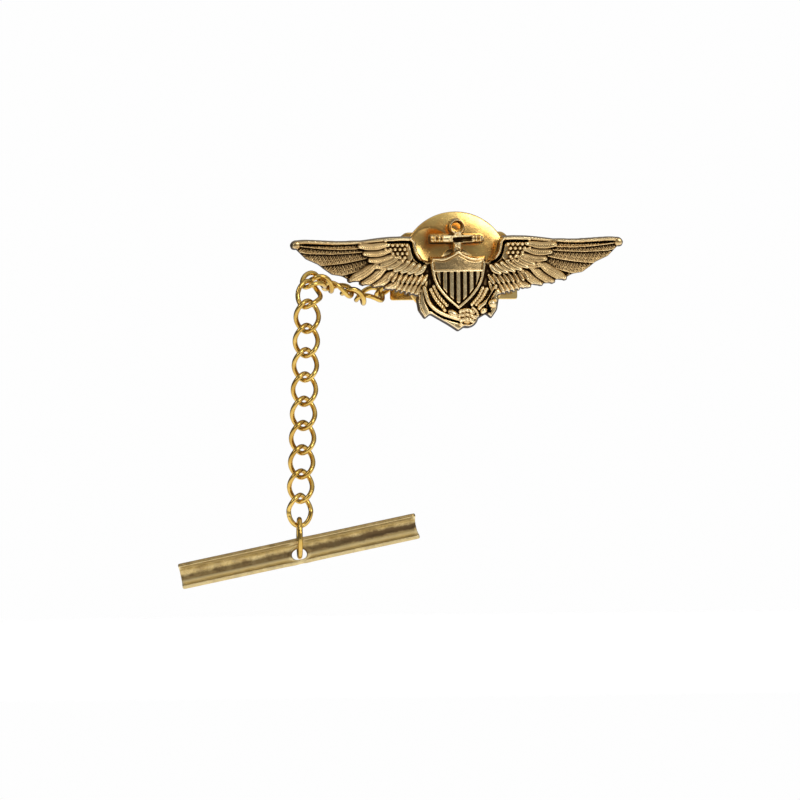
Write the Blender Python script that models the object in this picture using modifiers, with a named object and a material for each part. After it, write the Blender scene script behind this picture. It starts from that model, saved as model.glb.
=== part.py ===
"""Pilot wings pin: a struck emblem with a tack post, a butterfly clutch, and a curb chain to a buttonhole bar.

Blender 4.5, metres, +Z up. The emblem faces -Y. The origin is on the post's axis, in the plane of the
shield's face. Sizes below are in millimetres and are turned into metres where the objects are made.
"""

import math

import bmesh
import bpy
from mathutils import Matrix, Vector

MM = 0.001

# emblem
SHIELD_FACE = 0.0
ARM_FACE = 0.45
SHOULDER_FACE = 0.6
COVERT_FACE = 0.8
WING_FACE = 1.0
EMBED = 1.5  # raised tiers are sunk to this depth in the wing plate
BADGE_BACK = 2.0
SHIELD_RIBS = 7
RIB_PITCH = 0.66
RIB_GROOVE = 0.24
RIB_DEPTH = 0.25
CHIEF_BOTTOM = -0.5
RING_HEIGHT = 3.72
RING_RADIUS = 0.62
RING_WIRE = 0.19
ROPE_LOOP = (0.95, -5.0)
ROPE_LOOP_RADIUS = 1.0

# post
SOLDER_GAP = 0.05
PAD_RADIUS = 1.7
POST_RADIUS = 0.52
POST_LENGTH = 8.4
POST_SIDES = 16

# butterfly clutch, closed on a cloth
CLOTH_GAP = 1.2
DISC_FRONT = BADGE_BACK + CLOTH_GAP
DISC_RADIUS = 5.2
DISH_RADIUS = 4.4
SHEET = 0.3
DISC_SIDES = 40
HOUSING_HALF_LENGTH = 1.45
HOUSING_HALF_WIDTH = 3.05
HOUSING_TOP = 6.3
EAR_HINGE_X = 2.2
EAR_HINGE_Y = 4.15
EAR_HALF_HEIGHT = 3.25
JAW_HALF_HEIGHT = 2.5
EAR_BEND_X = 3.2
EAR_TIP_X = 6.02
EAR_TIP_Y = 5.7
EAR_HOLE = (-5.41, -1.23)
EAR_HOLE_RADIUS = 0.62
LEFT_JAW_Y = 4.95
RIGHT_JAW_Y = 5.6

# chain
WIRE = 0.48
LINK_HALF_WIDTH = 1.09
LINK_HALF_LENGTH = 1.49
LINK_PITCH = 2.31
LINK_TWIST = math.radians(45)
LINK_POINTS = 16
CHAIN_CORNER = (-14.85, -4.29, -3.58)
RUN_HEADINGS = ((73, 52), (69, 16), (58, -17), (23, -14), (56, -15), (33, 10))
CLUTCH_RING_HEADING = (8, 36)
CLUTCH_RING_ROLL = 130
HANGING_LINKS = 9
CHAIN_LEAN = 2.9

# buttonhole bar and its ring
BAR_LENGTH = 23.2
BAR_WIDTH = 2.5
BAR_DEPTH = 0.9
BAR_SHEET = 0.35
BAR_SLOPE = 11.35
BAR_HOLE_RADIUS = 0.8
BAR_RING_HALF_LENGTH = 1.8
BAR_RING_HALF_WIDTH = 1.0

# outline of half an emblem wing (X, Z), from its shoulder round the tip and back along the feather tips
WING_OUTLINE = (
    (2.3, 0.3), (2.95, 0.35), (3.4, 0.62), (3.78, 1.3), (3.92, 2.2), (4.35, 2.85),
    (6.5, 2.78), (9.2, 2.42), (11.5, 2.38), (14.5, 2.55), (15.55, 2.6), (15.85, 2.3),
    (15.6, 1.65), (14.6, 0.65), (13.4, 0.1), (12.9, -0.3), (12.1, -0.88), (11.1, -1.05),
    (10.3, -1.5), (9.5, -1.6), (8.8, -1.92), (7.3, -2.03), (6.3, -2.32), (3.8, -2.9),
)
COVERT_OUTLINE = (
    (2.3, -0.3), (4.1, 0.5), (4.7, 2.55), (6.5, 2.45), (9.2, 2.1), (15.2, 2.3), (15.0, 1.75),
    (11.0, 1.15), (8.6, 0.1), (7.0, -1.0), (5.2, -1.9), (3.6, -2.4),
)
SHOULDER_OUTLINE = (
    (2.1, -0.45), (4.35, 0.6), (4.85, 2.4), (6.4, 2.3), (6.9, 1.2), (6.2, -0.35), (4.6, -1.5), (2.1, -1.8),
)
SHIELD_SIDE = ((2.7, 0.9), (2.55, -0.65), (2.2, -1.9), (1.31, -3.12), (0.0, -4.23))
ARMS_RIGHT = (
    (0.0, -6.35), (0.9, -5.75), (2.67, -4.71), (3.2, -5.15), (3.8, -4.3), (4.0, -3.15), (3.45, -2.26),
    (2.3, -2.5), (0.0, -1.8),
)


def collection(name, parent=None):
    """A collection linked to the scene or inside another one."""
    made = bpy.data.collections.new(name)
    (parent or bpy.context.scene.collection).children.link(made)
    return made


def material(name, colour, roughness):
    """A plated metal."""
    made = bpy.data.materials.new(name)
    made.use_nodes = True
    shader = made.node_tree.nodes["Principled BSDF"]
    shader.inputs["Base Color"].default_value = (*colour, 1.0)
    shader.inputs["Metallic"].default_value = 1.0
    shader.inputs["Roughness"].default_value = roughness
    return made


def metres(point):
    """A point given in millimetres, in metres."""
    return Vector(point) * MM


def place(name, mesh, group, finish=None, matrix=None):
    """An object in its collection, with its own material and its place in the world."""
    made = bpy.data.objects.new(name, mesh)
    group.objects.link(made)
    if matrix is not None:
        made.matrix_world = matrix
    if finish is not None:
        made.data.materials.clear()
        made.data.materials.append(finish)
    return made


def as_cutter(made):
    """Marks an object as a guide that isn't part of the model."""
    made.hide_render = True
    made.display_type = "WIRE"
    return made


def mesh_of_curve(name, data, matrix):
    """A curve's evaluated mesh in world coordinates, with its loose caps welded."""
    guide = bpy.data.objects.new(name + "_guide", data)
    bpy.context.scene.collection.objects.link(guide)
    guide.matrix_world = matrix
    bpy.context.view_layer.update()
    graph = bpy.context.evaluated_depsgraph_get()
    mesh = bpy.data.meshes.new_from_object(guide.evaluated_get(graph))
    mesh.transform(guide.matrix_world)
    bpy.data.objects.remove(guide)
    work = bmesh.new()
    work.from_mesh(mesh)
    bmesh.ops.remove_doubles(work, verts=work.verts, dist=1e-7)
    bmesh.ops.recalc_face_normals(work, faces=work.faces)
    work.to_mesh(mesh)
    work.free()
    mesh.name = name
    return mesh


def outline_curve(name, loops, half_depth):
    """A filled flat outline in its local XY plane, twice the half depth thick. Loops are in millimetres."""
    data = bpy.data.curves.new(name, "CURVE")
    data.dimensions = "2D"
    data.fill_mode = "BOTH"
    data.extrude = half_depth * MM
    for loop in loops:
        spline = data.splines.new("POLY")
        spline.points.add(len(loop) - 1)
        for point, (x, y) in zip(spline.points, loop):
            point.co = (x * MM, y * MM, 0.0, 1.0)
        spline.use_cyclic_u = True
    return data


def facing_slab(name, loops, front, back):
    """A slab whose outline is in the XZ plane, from a front depth to a back depth along Y."""
    turn = Matrix.Rotation(math.radians(90), 4, "X")
    move = Matrix.Translation(metres((0.0, (front + back) / 2, 0.0)))
    data = outline_curve(name, loops, (back - front) / 2)
    return mesh_of_curve(name, data, move @ turn)


def mirrored(half):
    """A symmetric outline from its right half, whose ends may lie on the centre line."""
    left = [(-x, z) for x, z in reversed(half) if x > 0.0]
    return list(half) + left


def circle(centre, radius, sides):
    """Points round a circle."""
    steps = [2 * math.pi * i / sides for i in range(sides)]
    return [(centre[0] + radius * math.cos(a), centre[1] + radius * math.sin(a)) for a in steps]


def boolean(target, tool, operation):
    """Joins or cuts a piece with an object, or with all objects of a collection at once."""
    modifier = target.modifiers.new(operation.lower() + "_" + tool.name, "BOOLEAN")
    modifier.operation = operation
    modifier.solver = "EXACT"
    if isinstance(tool, bpy.types.Collection):
        modifier.operand_type = "COLLECTION"
        modifier.collection = tool
    else:
        modifier.object = tool
    return modifier


def turned(name, profile, sides, group, finish):
    """A closed or axis-to-axis profile of (radius, depth) pairs, turned about the post's axis."""
    mesh = bpy.data.meshes.new(name)
    points = [metres((radius, 0.0, -depth)) for radius, depth in profile]
    edges = [(i, i + 1) for i in range(len(points) - 1)]
    if profile[0][0] > 0.0:
        edges.append((len(points) - 1, 0))
    mesh.from_pydata(points, edges, [])
    made = place(name, mesh, group, finish, Matrix.Rotation(math.radians(90), 4, "X"))
    screw = made.modifiers.new("turn", "SCREW")
    screw.axis = "Z"
    screw.steps = sides
    screw.render_steps = sides
    screw.use_merge_vertices = True
    screw.merge_threshold = 1e-7
    screw.use_smooth_shade = True
    return made


def shield_outline():
    """The shield: a centre peak between two hollow arcs on top, and sides that curve in to a point."""
    top = []
    for i in range(1, 6):
        share = i / 6
        dip = 0.3 * math.sin(math.pi * share)
        top.append((2.7 * share, 1.48 - 0.58 * share - dip))
    return mirrored([(0.0, 1.48)] + top + list(SHIELD_SIDE))


def rib_grooves(guides):
    """The collection of slots that leave the upright ribs standing on the shield's field."""
    grooves = collection("rib_grooves", guides)
    for i in range(SHIELD_RIBS - 1):
        middle = (i - (SHIELD_RIBS - 2) / 2) * RIB_PITCH
        low = -3.75 + 1.05 * abs(middle) ** 1.1
        left = middle - RIB_GROOVE / 2
        right = middle + RIB_GROOVE / 2
        groove = [(left, low), (right, low), (right, CHIEF_BOTTOM), (left, CHIEF_BOTTOM)]
        name = f"rib_groove_{i + 1}"
        as_cutter(place(name, facing_slab(name, [groove], -0.5, RIB_DEPTH), grooves))
    return grooves


def wings_badge(group, guides, finish):
    """The struck emblem: a wing plate with raised tiers, the ribbed shield, and the anchor."""
    plate = facing_slab("wings_badge", [mirrored(WING_OUTLINE)], WING_FACE, BADGE_BACK)
    badge = place("wings_badge", plate, group, finish)
    tiers = (
        ("covert_tier", mirrored(COVERT_OUTLINE), COVERT_FACE, EMBED),
        ("shoulder_tier", mirrored(SHOULDER_OUTLINE), SHOULDER_FACE, EMBED - 0.1),
        ("arms", mirrored(ARMS_RIGHT), ARM_FACE, BADGE_BACK - 0.02),
        ("rope_loop", circle(ROPE_LOOP, ROPE_LOOP_RADIUS, 20), 0.6, BADGE_BACK - 0.12),
        ("shank", [(-0.5, 0.8), (0.5, 0.8), (0.42, 3.3), (-0.42, 3.3)], 0.55, BADGE_BACK - 0.06),
        ("stock", [(-2.55, 2.1), (2.55, 2.1), (2.55, 3.0), (-2.55, 3.0)], 0.7, BADGE_BACK - 0.08),
    )
    raised = collection("raised_tiers", guides)
    for name, outline, front, back in tiers:
        as_cutter(place(name, facing_slab(name, [outline], front, back), raised))
    shield = facing_slab("shield", [shield_outline()], SHIELD_FACE, BADGE_BACK - 0.04)
    shield = as_cutter(place("shield", shield, raised))
    boolean(shield, rib_grooves(guides), "DIFFERENCE")
    ring_middle = (0.0, RING_HEIGHT)
    ring_edges = [circle(ring_middle, RING_RADIUS + side * RING_WIRE, 20) for side in (1, -1)]
    ring = facing_slab("anchor_ring", ring_edges, 0.75, BADGE_BACK - 0.1)
    as_cutter(place("anchor_ring", ring, raised))
    boolean(badge, raised, "UNION")
    return badge


def post(group, pad_finish, post_finish):
    """The soldered pad and the grooved, pointed tack post that stands in it."""
    foot = BADGE_BACK + SOLDER_GAP
    hole = POST_RADIUS + SOLDER_GAP
    pad_profile = (
        (hole, foot + 0.55), (hole, foot), (PAD_RADIUS, foot),
        (PAD_RADIUS, foot + 0.2), (1.15, foot + 0.3), (0.95, foot + 0.55),
    )
    turned("post_pad", pad_profile, POST_SIDES, group, pad_finish)
    tip = foot + POST_LENGTH
    r = POST_RADIUS
    post_profile = (
        (0.0, foot), (r, foot), (r, tip - 3.6), (0.72 * r, tip - 3.4), (r, tip - 3.1), (r, tip - 2.6),
        (0.72 * r, tip - 2.4), (r, tip - 2.1), (0.85 * r, tip - 1.4), (0.0, tip),
    )
    turned("tack_post", post_profile, POST_SIDES, group, post_finish)


def clutch_base(group, finish):
    """The round stamped disc, dished inside a flat rim, with a hole for the post."""
    f = DISC_FRONT
    hole = POST_RADIUS + 0.18
    profile = (
        (hole, f + 0.25 + SHEET), (hole, f + 0.25), (DISH_RADIUS - 0.5, f + 0.25), (DISH_RADIUS, f),
        (DISC_RADIUS - 0.1, f), (DISC_RADIUS, f + 0.12), (DISC_RADIUS - 0.1, f + 0.4),
        (DISH_RADIUS, f + 0.05 + SHEET), (DISH_RADIUS - 0.5, f + 0.25 + SHEET),
    )
    return turned("clutch_base", profile, DISC_SIDES, group, finish)


def clutch_housing(group, guides, finish):
    """The saddle riveted on the disc: two legs and a roof with a hole for the post."""
    z = HOUSING_HALF_WIDTH
    low = DISC_FRONT + 0.25 + SHEET + SOLDER_GAP
    top = HOUSING_TOP
    t = SHEET
    section = [
        (-z, low), (-z + t, low), (-z + t, top - t), (z - t, top - t), (z - t, low), (z, low),
        (z, top - 0.5), (z - 0.5, top), (-z + 0.5, top), (-z, top - 0.5),
    ]
    # local X, Y, Z of the outline become world Z, Y and -X
    turn = Matrix(((0, 0, -1, 0), (0, 1, 0, 0), (1, 0, 0, 0), (0, 0, 0, 1)))
    data = outline_curve("clutch_housing", [section], HOUSING_HALF_LENGTH)
    housing = place("clutch_housing", mesh_of_curve("clutch_housing", data, turn), group, finish)
    hole_edge = circle((0.0, 0.0), POST_RADIUS + 0.15, POST_SIDES)
    hole = facing_slab("housing_hole", [hole_edge], top - 1.0, top + 1.0)
    boolean(housing, as_cutter(place("housing_hole", hole, guides)), "DIFFERENCE")
    return housing


def ear_section(side, jaw_y):
    """The bent strip of one ear, seen along Z: its jaw on the post, its riser, and its rising blade."""
    t = SHEET
    hinge = EAR_HINGE_X
    middle_line = [(-1.1, jaw_y), (1.75, jaw_y), (hinge, EAR_HINGE_Y)]
    for i in range(6):
        share = i / 5
        x = EAR_BEND_X + (EAR_TIP_X - EAR_BEND_X) * share
        middle_line.append((x, EAR_HINGE_Y + 0.1 + (EAR_TIP_Y - EAR_HINGE_Y - 0.1) * share**1.3))
    upper, lower = [], []
    for i, (x, y) in enumerate(middle_line):
        before = Vector(middle_line[max(i - 1, 0)])
        after = Vector(middle_line[min(i + 1, len(middle_line) - 1)])
        along = (after - before).normalized()
        upper.append((side * (x - along.y * t / 2), y + along.x * t / 2))
        lower.append((side * (x + along.y * t / 2), y - along.x * t / 2))
    return upper + lower[::-1]


def squeeze_wing(name, side, jaw_y, group, guides, finish):
    """One ear of the clutch, with the slot whose far edge grips the post."""
    matrix = Matrix.Identity(4)
    data = outline_curve(name, [ear_section(side, jaw_y)], EAR_HALF_HEIGHT)
    mesh = mesh_of_curve(name, data, matrix)
    pivot = metres((side * EAR_HINGE_X, EAR_HINGE_Y, 0.0))
    mesh.transform(Matrix.Translation(-pivot))
    ear = place(name, mesh, group, finish, Matrix.Translation(pivot))
    for end in (-1, 1):
        inner, outer = -2.0 * side, 2.6 * side
        low, high = JAW_HALF_HEIGHT * end, 4.0 * end
        notch = [(inner, low), (outer, low), (outer, high), (inner, high)]
        cutter_name = f"{name}_notch_{'low' if end < 0 else 'high'}"
        cutter = facing_slab(cutter_name, [notch], 3.0, 8.0)
        boolean(ear, as_cutter(place(cutter_name, cutter, guides)), "DIFFERENCE")
    grip = POST_RADIUS + 0.06
    slot = [(-grip * side, -0.62), (1.05 * side, -0.62), (1.05 * side, 0.62), (-grip * side, 0.62)]
    cutter = facing_slab(name + "_slot", [slot], jaw_y - 0.5, jaw_y + 0.4)
    boolean(ear, as_cutter(place(name + "_slot", cutter, guides)), "DIFFERENCE")
    if side < 0:
        hole = facing_slab("ear_hole", [circle(EAR_HOLE, EAR_HOLE_RADIUS, 12)], EAR_HINGE_Y, EAR_TIP_Y + 1.0)
        boolean(ear, as_cutter(place("ear_hole", hole, guides)), "DIFFERENCE")
    return ear


def heading(azimuth, rise):
    """The unit vector at an azimuth and a rise, in degrees."""
    a, e = math.radians(azimuth), math.radians(rise)
    return Vector((math.cos(e) * math.cos(a), math.cos(e) * math.sin(a), math.sin(e)))


def link_curve(name, end_twist):
    """A curb link whose origin is where it hangs from the link before it."""
    data = bpy.data.curves.new(name, "CURVE")
    data.dimensions = "3D"
    data.bevel_depth = WIRE / 2 * MM
    data.bevel_resolution = 2
    spline = data.splines.new("POLY")
    spline.points.add(LINK_POINTS - 1)
    for i, point in enumerate(spline.points):
        t = 2 * math.pi * i / LINK_POINTS
        lift = math.sin(t)
        twist = LINK_TWIST * lift if lift > 0 else end_twist * lift
        x = LINK_HALF_WIDTH * math.cos(t) * math.cos(twist)
        y = LINK_HALF_WIDTH * math.cos(t) * math.sin(twist)
        z = LINK_HALF_LENGTH * lift - LINK_PITCH / 2
        point.co = (*metres((x, y, z)), 1.0)
    spline.use_cyclic_u = True
    return data


def ring_curve(name, half_width, half_length, wire, drop):
    """A plain oval ring in its local XZ plane, whose centre is a drop below its origin."""
    data = bpy.data.curves.new(name, "CURVE")
    data.dimensions = "3D"
    data.bevel_depth = wire / 2 * MM
    data.bevel_resolution = 2
    spline = data.splines.new("POLY")
    spline.points.add(LINK_POINTS - 1)
    for i, point in enumerate(spline.points):
        t = 2 * math.pi * i / LINK_POINTS
        point.co = (*metres((half_width * math.cos(t), 0.0, half_length * math.sin(t) - drop)), 1.0)
    spline.use_cyclic_u = True
    return data


def chain_frames():
    """Each link's matrix at its upper hinge, from the clutch ring down, and the chain's lower end.

    The run is laid out upwards from the corner, and each link's frame is the one before it turned by
    the least angle, so the links keep one twist along the chain.
    """
    down = heading(180, -(90 - CHAIN_LEAN))
    turn = Vector((0.0, 0.0, 1.0)).rotation_difference(-down).to_matrix()
    corner = metres(CHAIN_CORNER)
    hanging = []
    for i in range(HANGING_LINKS):
        hinge = corner + down * LINK_PITCH * MM * i
        hanging.append(Matrix.Translation(hinge) @ turn.to_4x4())
    end = corner + down * LINK_PITCH * MM * HANGING_LINKS
    run = []
    point = corner
    before = -down
    for azimuth, rise in RUN_HEADINGS + (CLUTCH_RING_HEADING,):
        along = heading(azimuth, rise)
        turn = before.rotation_difference(along).to_matrix() @ turn
        point = point + along * LINK_PITCH * MM
        run.append(Matrix.Translation(point) @ turn.to_4x4())
        before = along
    return run[::-1] + hanging, end


def wire_piece(name, data, matrix, group, finish):
    """A bent wire as an object with its origin on its hinge."""
    data.materials.append(finish)
    made = bpy.data.objects.new(name, data)
    group.objects.link(made)
    made.matrix_world = matrix
    return made


def chain(group, finish):
    """The ring on the clutch, then the links down to the bar's ring."""
    frames, end = chain_frames()
    roll = Matrix.Rotation(math.radians(CLUTCH_RING_ROLL), 4, "Z")
    ring = ring_curve("clutch_ring", LINK_HALF_WIDTH, LINK_HALF_LENGTH, WIRE, LINK_PITCH / 2)
    wire_piece("clutch_ring", ring, frames[0] @ roll, group, finish)
    plain = link_curve("link", LINK_TWIST)
    last = link_curve("last_link", 0.0)
    for i, frame in enumerate(frames[1:], start=1):
        data = last if i == len(frames) - 1 else plain.copy()
        wire_piece(f"chain_link_{i:02d}", data, frame, group, finish)
    return end


def bar_axes():
    """The bar's frame: X across it, Y to its hollow side, Z along it."""
    slope = math.radians(BAR_SLOPE)
    along = Vector((math.cos(slope), 0.0, math.sin(slope)))
    across = Vector((-math.sin(slope), 0.0, math.cos(slope)))
    hollow = Vector((0.0, -1.0, 0.0))
    return Matrix((across, hollow, along)).transposed()


def bar_and_ring(chain_end, group, guides, ring_finish, bar_finish):
    """The half-round buttonhole bar, and the oval ring through its hole and the last link."""
    drop = BAR_RING_HALF_LENGTH - 0.33
    ring = ring_curve("bar_ring", BAR_RING_HALF_WIDTH, BAR_RING_HALF_LENGTH, WIRE, drop)
    turn = Matrix.Rotation(math.radians(90), 4, "Z")
    wire_piece("bar_ring", ring, Matrix.Translation(chain_end) @ turn, group, ring_finish)
    radius = (BAR_WIDTH**2 / 4 + BAR_DEPTH**2) / (2 * BAR_DEPTH)
    inner = radius - BAR_SHEET
    half = math.asin(BAR_WIDTH / 2 / radius)
    steps = 8
    arc = [half * (2 * i / steps - 1) for i in range(steps + 1)]
    outer_arc = [(radius * math.sin(a), radius - radius * math.cos(a)) for a in arc]
    inner_arc = [(inner * math.sin(a), radius - inner * math.cos(a)) for a in reversed(arc)]
    data = outline_curve("t_bar", [outer_arc + inner_arc], BAR_LENGTH / 2)
    mesh = mesh_of_curve("t_bar", data, Matrix.Identity(4))
    hole_at = chain_end + metres((0.0, BAR_RING_HALF_WIDTH * 0.6, -2 * BAR_RING_HALF_LENGTH + 0.45))
    axes = bar_axes().to_4x4()
    hole_offset = 0.45
    mesh.transform(Matrix.Translation(metres((hole_offset, 0.0, 0.0))))
    bar = place("t_bar", mesh, group, bar_finish, Matrix.Translation(hole_at) @ axes)
    hole = facing_slab("bar_hole", [circle((0.0, 0.0), BAR_HOLE_RADIUS, 16)], -3.0, 3.0)
    cutter = as_cutter(place("bar_hole", hole, guides, None, Matrix.Translation(hole_at)))
    boolean(bar, cutter, "DIFFERENCE")
    return bar


def main():
    for old in list(bpy.data.objects):
        bpy.data.objects.remove(old)
    pin = collection("pilot_wings_pin")
    guides = collection("cutters")
    champagne = (0.72, 0.56, 0.33)
    yellow = (0.86, 0.6, 0.2)
    wings_badge(pin, guides, material("badge_gold", champagne, 0.3))
    post(pin, material("pad_gold", yellow, 0.35), material("post_gold", yellow, 0.25))
    clutch_base(pin, material("clutch_gold", yellow, 0.25))
    clutch_housing(pin, guides, material("housing_gold", yellow, 0.28))
    squeeze_wing("squeeze_wing_left", -1, LEFT_JAW_Y, pin, guides, material("left_ear_gold", yellow, 0.25))
    squeeze_wing("squeeze_wing_right", 1, RIGHT_JAW_Y, pin, guides, material("right_ear_gold", yellow, 0.25))
    end = chain(pin, material("chain_gold", yellow, 0.2))
    bar_and_ring(end, pin, guides, material("ring_gold", yellow, 0.2), material("bar_gold", champagne, 0.35))


main()
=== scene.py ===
"""Looks of the pilot wings pin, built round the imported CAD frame.

Lengths are in millimetres, in the frame of the CAD (X right, Y away from the viewer, Z up), until a mesh is
made from them. The emblem is one struck relief: a field of heights over its flat back.
"""

import math

import bmesh
import bpy
import numpy as np
from mathutils import Matrix, Vector


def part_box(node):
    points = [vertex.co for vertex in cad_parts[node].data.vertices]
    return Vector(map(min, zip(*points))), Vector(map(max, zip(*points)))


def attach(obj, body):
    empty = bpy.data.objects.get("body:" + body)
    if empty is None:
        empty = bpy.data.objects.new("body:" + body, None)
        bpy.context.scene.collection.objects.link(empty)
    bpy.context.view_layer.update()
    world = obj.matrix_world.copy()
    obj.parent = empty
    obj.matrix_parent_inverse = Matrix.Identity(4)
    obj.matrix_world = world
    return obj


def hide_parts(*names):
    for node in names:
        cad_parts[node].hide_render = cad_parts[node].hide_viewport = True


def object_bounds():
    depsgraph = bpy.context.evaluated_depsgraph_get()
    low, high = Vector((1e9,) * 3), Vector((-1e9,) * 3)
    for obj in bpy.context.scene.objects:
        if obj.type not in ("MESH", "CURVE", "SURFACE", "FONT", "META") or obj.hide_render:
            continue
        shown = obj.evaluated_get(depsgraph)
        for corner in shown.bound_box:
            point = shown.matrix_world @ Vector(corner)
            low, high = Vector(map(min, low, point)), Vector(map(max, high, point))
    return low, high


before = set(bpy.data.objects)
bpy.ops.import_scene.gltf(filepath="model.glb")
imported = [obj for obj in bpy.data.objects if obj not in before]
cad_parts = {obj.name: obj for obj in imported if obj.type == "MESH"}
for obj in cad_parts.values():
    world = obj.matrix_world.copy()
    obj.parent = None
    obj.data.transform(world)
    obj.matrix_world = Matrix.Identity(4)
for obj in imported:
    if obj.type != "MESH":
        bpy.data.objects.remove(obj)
cad_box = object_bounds()

MM = 0.001
GRID = 0.034

# the emblem's levels, as heights over its back
BACK = 2.0
RIM = 0.22
PLATE = 0.8
PRIMARY = 0.98
COVERT = 1.14
SHOULDER = 1.2
ARM = 1.32
STOCK = 1.2
SHIELD = 1.62

# sheet metal of the clutch and the bar
SHEET = 0.3
BAR_SHEET = 0.35
SHEET_EDGE = 0.07

CAMERA_TURN = 5.0
CAMERA_ROLL = 0.7
CAMERA_SPAN = 76.4
CAMERA_DISTANCE = 1200.0


# ---------------------------------------------------------------- shared helpers


def box_mm(node):
    """A CAD node's lowest and highest corner, in millimetres."""
    low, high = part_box(node)
    return low / MM, high / MM


def mesh_from(name, points, faces):
    """A mesh from points in millimetres."""
    mesh = bpy.data.meshes.new(name)
    mesh.from_pydata((np.asarray(points, float) * MM).tolist(), [], [list(map(int, f)) for f in faces])
    mesh.update()
    return mesh


def place(name, mesh, body, replaced, finish, slot):
    """A visible piece: it rides on its body, stands for its CAD node and has one finish."""
    piece = bpy.data.objects.new(name, mesh)
    bpy.context.scene.collection.objects.link(piece)
    mesh.materials.clear()
    mesh.materials.append(finish)
    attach(piece, body)
    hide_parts(replaced)
    return piece


def shade(mesh, angle=50):
    """Smooth shading with sharp edges kept."""
    mesh.shade_smooth()
    mesh.set_sharp_from_angle(angle=math.radians(angle))


def smooth_curve(points, steps):
    """Points on a Catmull-Rom curve through the given ones."""
    p = [np.array(q, float) for q in points]
    p = [2 * p[0] - p[1]] + p + [2 * p[-1] - p[-2]]
    out = []
    for i in range(1, len(p) - 2):
        for k in range(steps):
            t = k / steps
            a, b, c, d = p[i - 1], p[i], p[i + 1], p[i + 2]
            out.append(0.5 * (2 * b + (c - a) * t + (2 * a - 5 * b + 4 * c - d) * t**2 + (3 * b - a - 3 * c + d) * t**3))
    out.append(p[-2])
    return np.array(out)


def at_share(points, share):
    """The point at a share of the way along a smooth curve."""
    curve = smooth_curve(points, 12)
    lengths = np.concatenate(([0.0], np.cumsum(np.linalg.norm(np.diff(curve, axis=0), axis=1))))
    goal = share * lengths[-1]
    return np.array([np.interp(goal, lengths, curve[:, k]) for k in range(curve.shape[1])])


def step_up(value, low, high):
    """A smooth step from 0 to 1."""
    t = np.clip((value - low) / (high - low), 0.0, 1.0)
    return t * t * (3 - 2 * t)


# ---------------------------------------------------------------- the emblem's relief


def cad_silhouette(x, z):
    """How far each grid point lies inside the CAD emblem's front silhouette; exact only near its edge."""
    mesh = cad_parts["wings_badge"].data
    points = np.array([v.co for v in mesh.vertices]) / MM
    covered = np.zeros(x.shape)
    xs, zs = x[0], z[:, 0]
    mesh.calc_loop_triangles()
    for triangle in mesh.loop_triangles:
        (ax, _, az), (bx, _, bz), (cx, _, cz) = points[list(triangle.vertices)]
        area = (bx - ax) * (cz - az) - (cx - ax) * (bz - az)
        if abs(area) < 1e-6:
            continue
        columns = slice(*np.searchsorted(xs, (min(ax, bx, cx), max(ax, bx, cx))))
        rows = slice(*np.searchsorted(zs, (min(az, bz, cz), max(az, bz, cz))))
        px, pz = x[rows, columns], z[rows, columns]
        u = ((bx - px) * (cz - pz) - (cx - px) * (bz - pz)) / area
        v = ((cx - px) * (az - pz) - (ax - px) * (cz - pz)) / area
        covered[rows, columns] = np.maximum(covered[rows, columns], (u >= 0) & (v >= 0) & (u + v <= 1))
    softness = 0.08
    share = np.clip(blurred(covered, np.ones(x.shape), softness), 1e-4, 1 - 1e-4)
    return softness / 1.7 * np.log(share / (1 - share))


class Relief:
    """Heights over the emblem's back on a grid, and how far each point lies inside the silhouette."""

    def __init__(self):
        low, high = box_mm("wings_badge")
        xs = np.arange(low.x - 0.5, high.x + 0.5, GRID)
        zs = np.arange(low.z - 0.5, high.z + 0.5, GRID)
        self.x, self.z = np.meshgrid(xs, zs)
        self.side = np.abs(self.x)
        self.height = np.full(self.x.shape, PLATE)
        self.outline = cad_silhouette(self.x, self.z)
        self.inside = self.outline - 0.14 * step_up(self.side, 4.1, 4.6)

    def distance_inside(self, edges):
        """Signed distance to a closed outline, positive inside."""
        nearest = np.full(self.x.shape, 1e9)
        crossings = np.zeros(self.x.shape, bool)
        for (ax, az), (bx, bz) in edges:
            dx, dz = bx - ax, bz - az
            t = np.clip(((self.x - ax) * dx + (self.z - az) * dz) / (dx * dx + dz * dz), 0, 1)
            nearest = np.minimum(nearest, (self.x - ax - t * dx) ** 2 + (self.z - az - t * dz) ** 2)
            if dz != 0.0:
                spans = (self.z >= min(az, bz)) & (self.z < max(az, bz))
                crossings ^= spans & (self.x < ax + (self.z - az) / dz * dx)
        return np.where(crossings, 1, -1) * np.sqrt(nearest)

    def window(self, points, margin, mirror):
        """The part of the grid near some points, with X folded onto one side for a mirrored feature."""
        p = np.asarray(points)
        x = self.side if mirror else self.x
        near = (x > p[:, 0].min() - margin) & (x < p[:, 0].max() + margin)
        near &= (self.z > p[:, 1].min() - margin) & (self.z < p[:, 1].max() + margin)
        return near, x[near], self.z[near]

    def raise_to(self, near, measure, height, spread=0.09):
        """Lifts the relief to a height where a feature's measure is positive, and widens the silhouette."""
        inner = measure > 0
        now = self.height[near]
        self.height[near] = np.where(inner, np.maximum(now, height), now)
        reach = np.minimum(measure, self.outline[near] + spread)
        self.inside[near] = np.maximum(self.inside[near], reach)

    def press(self, near, measure, depth, softness):
        """Presses a soft groove where a measure is positive."""
        self.height[near] -= depth * step_up(measure, 0.0, softness)


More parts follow.
